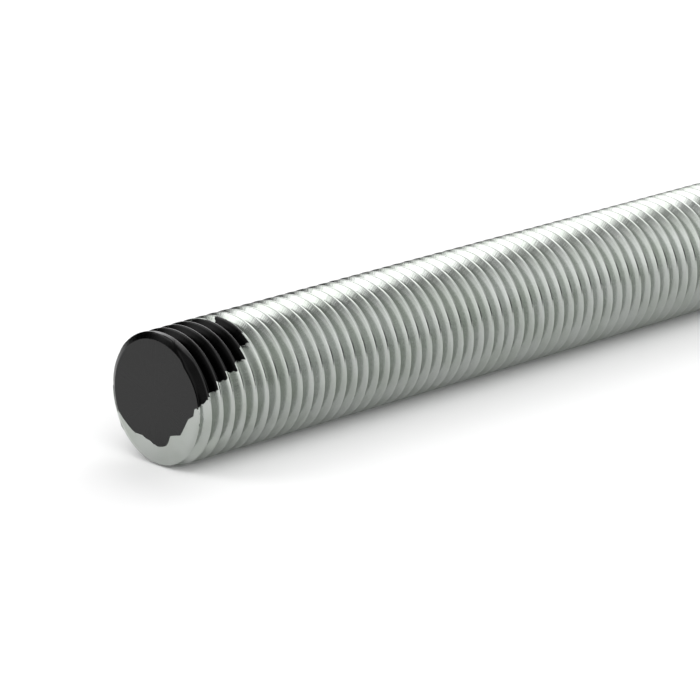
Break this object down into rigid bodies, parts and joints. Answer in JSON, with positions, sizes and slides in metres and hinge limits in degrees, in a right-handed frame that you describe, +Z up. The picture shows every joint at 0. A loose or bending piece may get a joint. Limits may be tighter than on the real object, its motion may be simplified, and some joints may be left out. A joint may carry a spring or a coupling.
{
  "type": "threaded rod",
  "caption": "Cut length of fully threaded steel rod, zinc plated, with the plating torn back at one end to show bare black steel.",
  "frame": {"origin": "centre of the rod: on its axis, half way along", "axes": "+X along the rod, from the end with the torn plating to the fully plated end; +Z up as it lies"},
  "size_m": [0.2502, 0.0362, 0.0362],
  "materials": {
    "black_steel": "bare black steel, dull on the cut face and darker in the grooves",
    "zinc": "satin zinc plating with a fine grain round the rod, cool grey with a slight green tint"
  },
  "bodies": {
    "root": {"steel_rod": "black_steel", "zinc_plating": "zinc"}
  },
  "joints": []
}
